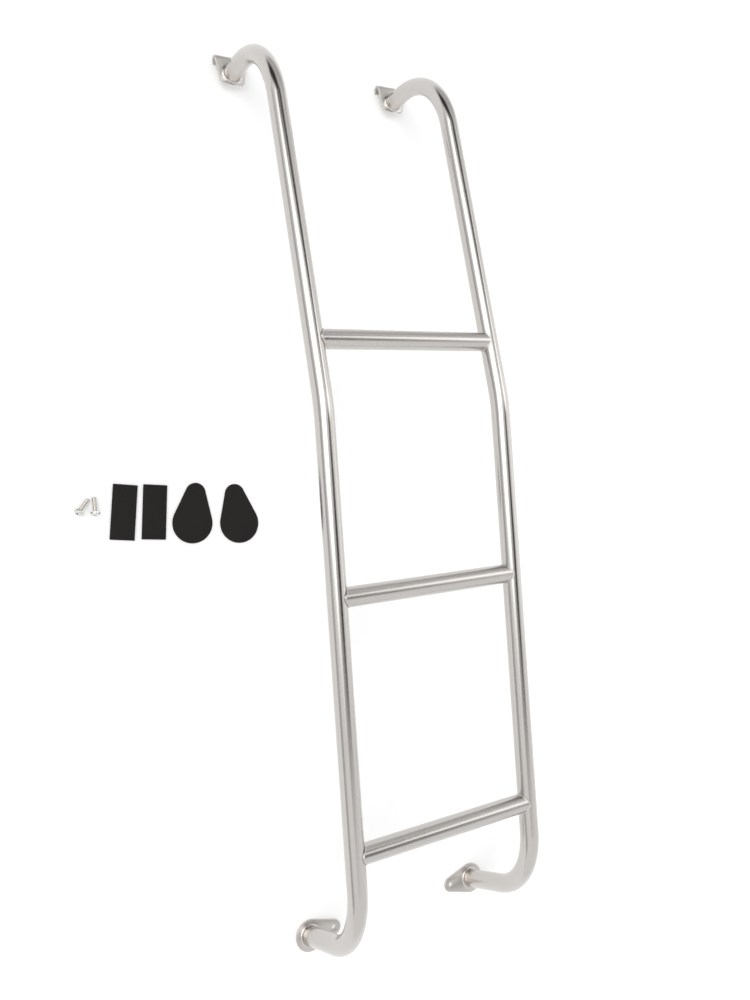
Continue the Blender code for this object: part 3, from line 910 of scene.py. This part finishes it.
def cut_recess(screw):
    """Cuts the cross recess: two tapered slots with a cone where they meet, all begun above the head's top."""
    top = HEAD_HEIGHT
    floor = top - RECESS_DEPTH
    for turn in (0.0, math.pi / 2):
        bpy.ops.mesh.primitive_cube_add(size=1.0, location=(0, 0, top - RECESS_DEPTH / 2))
        bpy.context.object.scale = (RECESS_SPAN * 1.15, RECESS_WIDTH * 1.15, RECESS_DEPTH * 1.2)
        bpy.context.object.rotation_euler = (0, 0, turn)
        slot = started("slot")
        with editing(slot):
            pick(slot, lambda p: p.z < floor)
            bpy.ops.transform.resize(value=(RECESS_TAPER, RECESS_TAPER, 1), center_override=(0, 0, floor))
        carve(screw, slot)
    bpy.ops.mesh.primitive_cone_add(
        vertices=24, radius1=RECESS_POINT, radius2=RECESS_WIDTH, depth=RECESS_DEPTH * 1.3,
        location=(0, 0, top - RECESS_DEPTH / 2))
    carve(screw, started("slot_middle"))


def add_screw():
    """A pan-head screw on the Z axis with the underside of its head at Z = 0."""
    screw = add_head()
    carve(screw, add_thread(), "UNION")
    cut_recess(screw)
    soften(screw, SCREW_EDGE, segments=2)
    smooth(screw, 30)
    keep_place(screw)
    return screw


# ---------------------------------------------------------------------------------------------------------
# Operators


class BuildRails(bpy.types.Operator):
    """Bends the two rails"""

    bl_idname = "ladder.build_rails"
    bl_label = "Rails"

    def execute(self, context):
        rail = add_rail("rail_blank")
        finish = tube_steel("satin_rail", rail_length(), RAIL_POLISH, colours().rail_roughness)
        for word, side in SIDES.items():
            twin = duplicate(rail, f"{word}_rail_tube")
            move(twin, Matrix.Translation((MIDDLE_X + side * RAIL_SPACING / 2, 0, 0)))
            hand_over(twin, f"{word}_rail", finish)
        bpy.data.objects.remove(rail, do_unlink=True)
        return {"FINISHED"}


class BuildRungs(bpy.types.Operator):
    """Cuts the three rungs to fit between the rails"""

    bl_idname = "ladder.build_rungs"
    bl_label = "Rungs"

    def execute(self, context):
        finish = tube_steel("satin_rung", RAIL_SPACING, RUNG_POLISH, colours().rung_roughness)
        for name in RUNGS:
            hand_over(add_rung(name), f"{name}_rung", finish)
        return {"FINISHED"}


class BuildWelds(bpy.types.Operator):
    """Lays the welds round the rungs and on the plates"""

    bl_idname = "ladder.build_welds"
    bl_label = "Welds"

    def execute(self, context):
        finish = weld_steel("weld_metal")
        beads = {
            "saddle": add_saddle_bead(),
            "hook": add_flat_bead("hook_bead", 0.0),
            "foot": add_flat_bead("foot_bead", FOOT_LEAN),
        }
        for bead in beads.values():
            face_outwards(bead)
            smooth(bead, 60)
            keep_place(bead)
        for word, side in SIDES.items():
            rail_x = MIDDLE_X + side * RAIL_SPACING / 2
            spots = {
                "hook": Matrix.Translation((rail_x, HOOK_Y, HOOK_FACE)),
                "foot": Matrix.Translation((rail_x, FOOT_Y, PLATE_THICKNESS)),
            }
            for end, spot in spots.items():
                twin = duplicate(beads[end], f"{word}_{end}_bead")
                move(twin, spot)
                hand_over(twin, f"{word}_{end}_weld", finish)
            for name in RUNGS:
                middle, slope = rung_middle(name)
                spot = Matrix.Translation((rail_x, middle.x, middle.y)) @ turned(slope, "X")
                if side > 0:
                    spot = spot @ turned(180, "Y")
                twin = duplicate(beads["saddle"], f"{name}_rung_{word}_bead")
                move(twin, spot)
                hand_over(twin, f"{name}_rung_{word}_weld", finish)
        for bead in beads.values():
            bpy.data.objects.remove(bead, do_unlink=True)
        return {"FINISHED"}


class BuildPlates(bpy.types.Operator):
    """Presses the hook plates and the foot plates"""

    bl_idname = "ladder.build_plates"
    bl_label = "Hook and foot plates"

    def execute(self, context):
        finish = plate_steel("satin_plate", PLATE_POLISH)
        hook = add_hook_plate()
        foot = add_teardrop("foot_plate", PLATE_TEARDROP, PLATE_THICKNESS, FOOT_HOLE_RADIUS)
        soften(foot, sizes().plate_edge)
        smooth(foot)
        keep_place(foot)
        for word, side in SIDES.items():
            rail_x = MIDDLE_X + side * RAIL_SPACING / 2
            twin = duplicate(hook, f"{word}_hook_plate_pressed")
            move(twin, Matrix.Translation((rail_x, HOOK_Y, 0)))
            hand_over(twin, f"{word}_hook_plate", finish)
            twin = duplicate(foot, f"{word}_foot_plate_pressed")
            move(twin, Matrix.Translation((rail_x, FOOT_Y, 0)) @ turned(180 if side > 0 else 0))
            hand_over(twin, f"{word}_foot_plate", finish)
        for blank in (hook, foot):
            bpy.data.objects.remove(blank, do_unlink=True)
        return {"FINISHED"}


class BuildPads(bpy.types.Operator):
    """Cuts the rubber pads and lays them out"""

    bl_idname = "ladder.build_pads"
    bl_label = "Rubber pads"

    def execute(self, context):
        plain = sheet_rubber("sheet_rubber", 0.0)
        backed = sheet_rubber("backed_rubber", BACKING_HEIGHT)
        bpy.ops.mesh.primitive_cube_add(size=1.0, location=(0, 0, PAD_THICKNESS / 2))
        bpy.context.object.scale = (*HOOK_PAD_SIZE, PAD_THICKNESS)
        hook_pad = started("hook_pad")
        foot_pad = add_teardrop("foot_pad", PAD_TEARDROP, PAD_THICKNESS)
        kinds = (
            ("hook_pad", hook_pad, HOOK_PAD_HEADINGS, 0, plain),
            ("foot_pad", foot_pad, FOOT_PAD_HEADINGS, 90, backed),
        )
        for kind, blank, headings, quarter, finish in kinds:
            soften(blank, sizes().pad_edge, segments=2)
            smooth(blank)
            keep_place(blank)
            for number, heading in enumerate(headings, start=1):
                node = f"{kind}_{number}"
                twin = duplicate(blank, f"{node}_rubber")
                move(twin, turned(heading + quarter))
                settle(twin, node)
                hand_over(twin, node, finish)
            bpy.data.objects.remove(blank, do_unlink=True)
        return {"FINISHED"}


class BuildScrews(bpy.types.Operator):
    """Makes the two pan-head screws and lays them on their sides"""

    bl_idname = "ladder.build_screws"
    bl_label = "Screws"

    def execute(self, context):
        finish = screw_steel("screw_metal")
        blank = add_screw()
        tilt = math.degrees(math.atan2(HEAD_RADIUS - SCREW_RADIUS, SCREW_LENGTH - SCREW_TIP))
        for number, heading in enumerate(SCREW_HEADINGS, start=1):
            node = f"foot_screw_{number}"
            twin = duplicate(blank, f"{node}_threaded")
            move(twin, turned(heading) @ turned(90 - tilt, "X") @ turned(SCREW_ROLLS[number - 1]))
            settle(twin, node)
            hand_over(twin, node, finish)
        bpy.data.objects.remove(blank, do_unlink=True)
        return {"FINISHED"}


# The camera, from the point on the floor midway between the feet
CAMERA_PLACE = (-0.5971, 0.5459, 1.1143)
CAMERA_FORWARD = (0.49938, 0.05701, -0.86451)
CAMERA_UP = (0.05967, 0.9932, 0.09997)
CAMERA_LENS = 31.02
CAMERA_SHIFT = (-0.0028, -0.0283)
FLOOR_SIZE = 60.0
FLOOR_GLOW = 0.28

# The studio's dome, a plain light with soft-edged cards on it. Each card has its centre as azimuth from +Y
# towards +X and elevation, the roll of its long side, its half width, half height and soft edge, all in
# degrees, and its light.
DOME_LIGHT = 1.0
CARDS = {
    "left_wall": (-92, 8, 0, 38, 14, 7, 0.56),
    "far_wall": (14, 12, 0, 38, 24, 8, 0.62),
    "right_fill": (86, 15, 0, 15, 17, 6, 1.36),
    "right_lamp": (66, 49, 0, 12, 9, 5, 2.3),
    "ceiling": (168, 73, 0, 16, 8, 7, 0.40),
    "key_softbox": (-66, 57, 0, 22, 20, 5, 3.0),
    "low_seam": (-17, 29, 66, 24, 13, 3, 0.02),
    "middle_seam": (27, 52, 6, 16, 8, 3, 0.02),
    "top_seam": (110, 67, 0, 12, 12, 4, 0.03),
}


class Dome(Shading):
    """The world's light, which depends only on direction."""

    def __init__(self, world):
        world.use_nodes = True
        super().__init__(world.node_tree)
        self.direction = self.node("ShaderNodeTexCoord", output="Generated")
        self.light = DOME_LIGHT

    def add_card(self, azimuth, elevation, roll, half_width, half_height, edge, light):
        azimuth, elevation = math.radians(azimuth), math.radians(elevation)
        level = Vector((math.sin(azimuth), math.cos(azimuth), 0))
        across = Vector((math.cos(azimuth), -math.sin(azimuth), 0))
        centre = level * math.cos(elevation) + Vector((0, 0, math.sin(elevation)))
        upward = Vector((0, 0, math.cos(elevation))) - level * math.sin(elevation)
        turn = math.radians(roll)
        sides = (
            (across * math.cos(turn) + upward * math.sin(turn), half_width),
            (upward * math.cos(turn) - across * math.sin(turn), half_height),
        )
        depth = self.dot(self.direction, centre)
        mask = depth.ramp(0.0, 0.1)
        for side, half in sides:
            reach = self.dot(self.direction, side) / depth.maths("MAXIMUM", depth, 0.01)
            inner, outer = math.radians(half - edge), math.radians(half + edge)
            mask = mask * (1.0 - reach.size().ramp(math.tan(inner), math.tan(outer)))
        self.light = self.light + mask * (light - self.light)

    def shine(self):
        self.feed(self.tree.nodes["Background"].inputs["Strength"], self.light)


class BuildStage(bpy.types.Operator):
    """Sets the floor, the lights and the camera"""

    bl_idname = "ladder.build_stage"
    bl_label = "Studio"

    def execute(self, context):
        bpy.ops.mesh.primitive_plane_add(size=FLOOR_SIZE)
        floor = bpy.context.object
        floor.name = "floor"
        paint = Finish("pale_floor", Roughness=0.9, Specular_IOR_Level=0.1)
        paint.shade(Base_Color=colours().floor, Emission_Color=colours().floor, Emission_Strength=FLOOR_GLOW)
        floor.data.materials.append(paint.material)

        world = bpy.data.worlds.new("studio_dome")
        dome = Dome(world)
        dome.feed(dome.tree.nodes["Background"].inputs["Color"], (1.0, 1.0, 1.0))
        for card in CARDS.values():
            dome.add_card(*card)
        dome.shine()
        context.scene.world = world
        context.scene.view_settings.view_transform = "Standard"

        forward, up = Vector(CAMERA_FORWARD).normalized(), Vector(CAMERA_UP)
        right = forward.cross(up).normalized()
        up = right.cross(forward)
        turn = Matrix((right, up, -forward)).transposed().to_4x4()
        foot = Vector((MIDDLE_X, FOOT_Y, 0))
        bpy.ops.object.camera_add()
        camera = context.object
        camera.name = "studio_camera"
        camera.matrix_world = Matrix.Translation(foot + Vector(CAMERA_PLACE)) @ turn
        camera.data.lens = CAMERA_LENS
        camera.data.shift_x, camera.data.shift_y = CAMERA_SHIFT
        context.scene.camera = camera
        return {"FINISHED"}


OPERATORS = (BuildRails, BuildRungs, BuildWelds, BuildPlates, BuildPads, BuildScrews, BuildStage)


class LadderPanel(bpy.types.Panel):
    """Lists the ladder's pieces"""

    bl_idname = "VIEW3D_PT_tailgate_ladder"
    bl_label = "Tailgate Ladder"
    bl_space_type = "VIEW_3D"
    bl_region_type = "UI"
    bl_category = "Ladder"

    def draw(self, context):
        for group in (context.scene.ladder_sizes, context.scene.ladder_colours):
            for name in group.bl_rna.properties.keys():
                if name not in ("rna_type", "name"):
                    self.layout.prop(group, name)
        for operator in OPERATORS:
            self.layout.operator(operator.bl_idname)


CLASSES = (LadderSizes, LadderColours, *OPERATORS, LadderPanel)


def register():
    for item in CLASSES:
        bpy.utils.register_class(item)
    bpy.types.Scene.ladder_sizes = bpy.props.PointerProperty(type=LadderSizes)
    bpy.types.Scene.ladder_colours = bpy.props.PointerProperty(type=LadderColours)


def unregister():
    del bpy.types.Scene.ladder_colours
    del bpy.types.Scene.ladder_sizes
    for item in reversed(CLASSES):
        bpy.utils.unregister_class(item)


def main():
    register()
    bpy.ops.ladder.build_rails()
    bpy.ops.ladder.build_rungs()
    bpy.ops.ladder.build_welds()
    bpy.ops.ladder.build_plates()
    bpy.ops.ladder.build_pads()
    bpy.ops.ladder.build_screws()
    bpy.ops.ladder.build_stage()


if __name__ == "__main__":
    main()
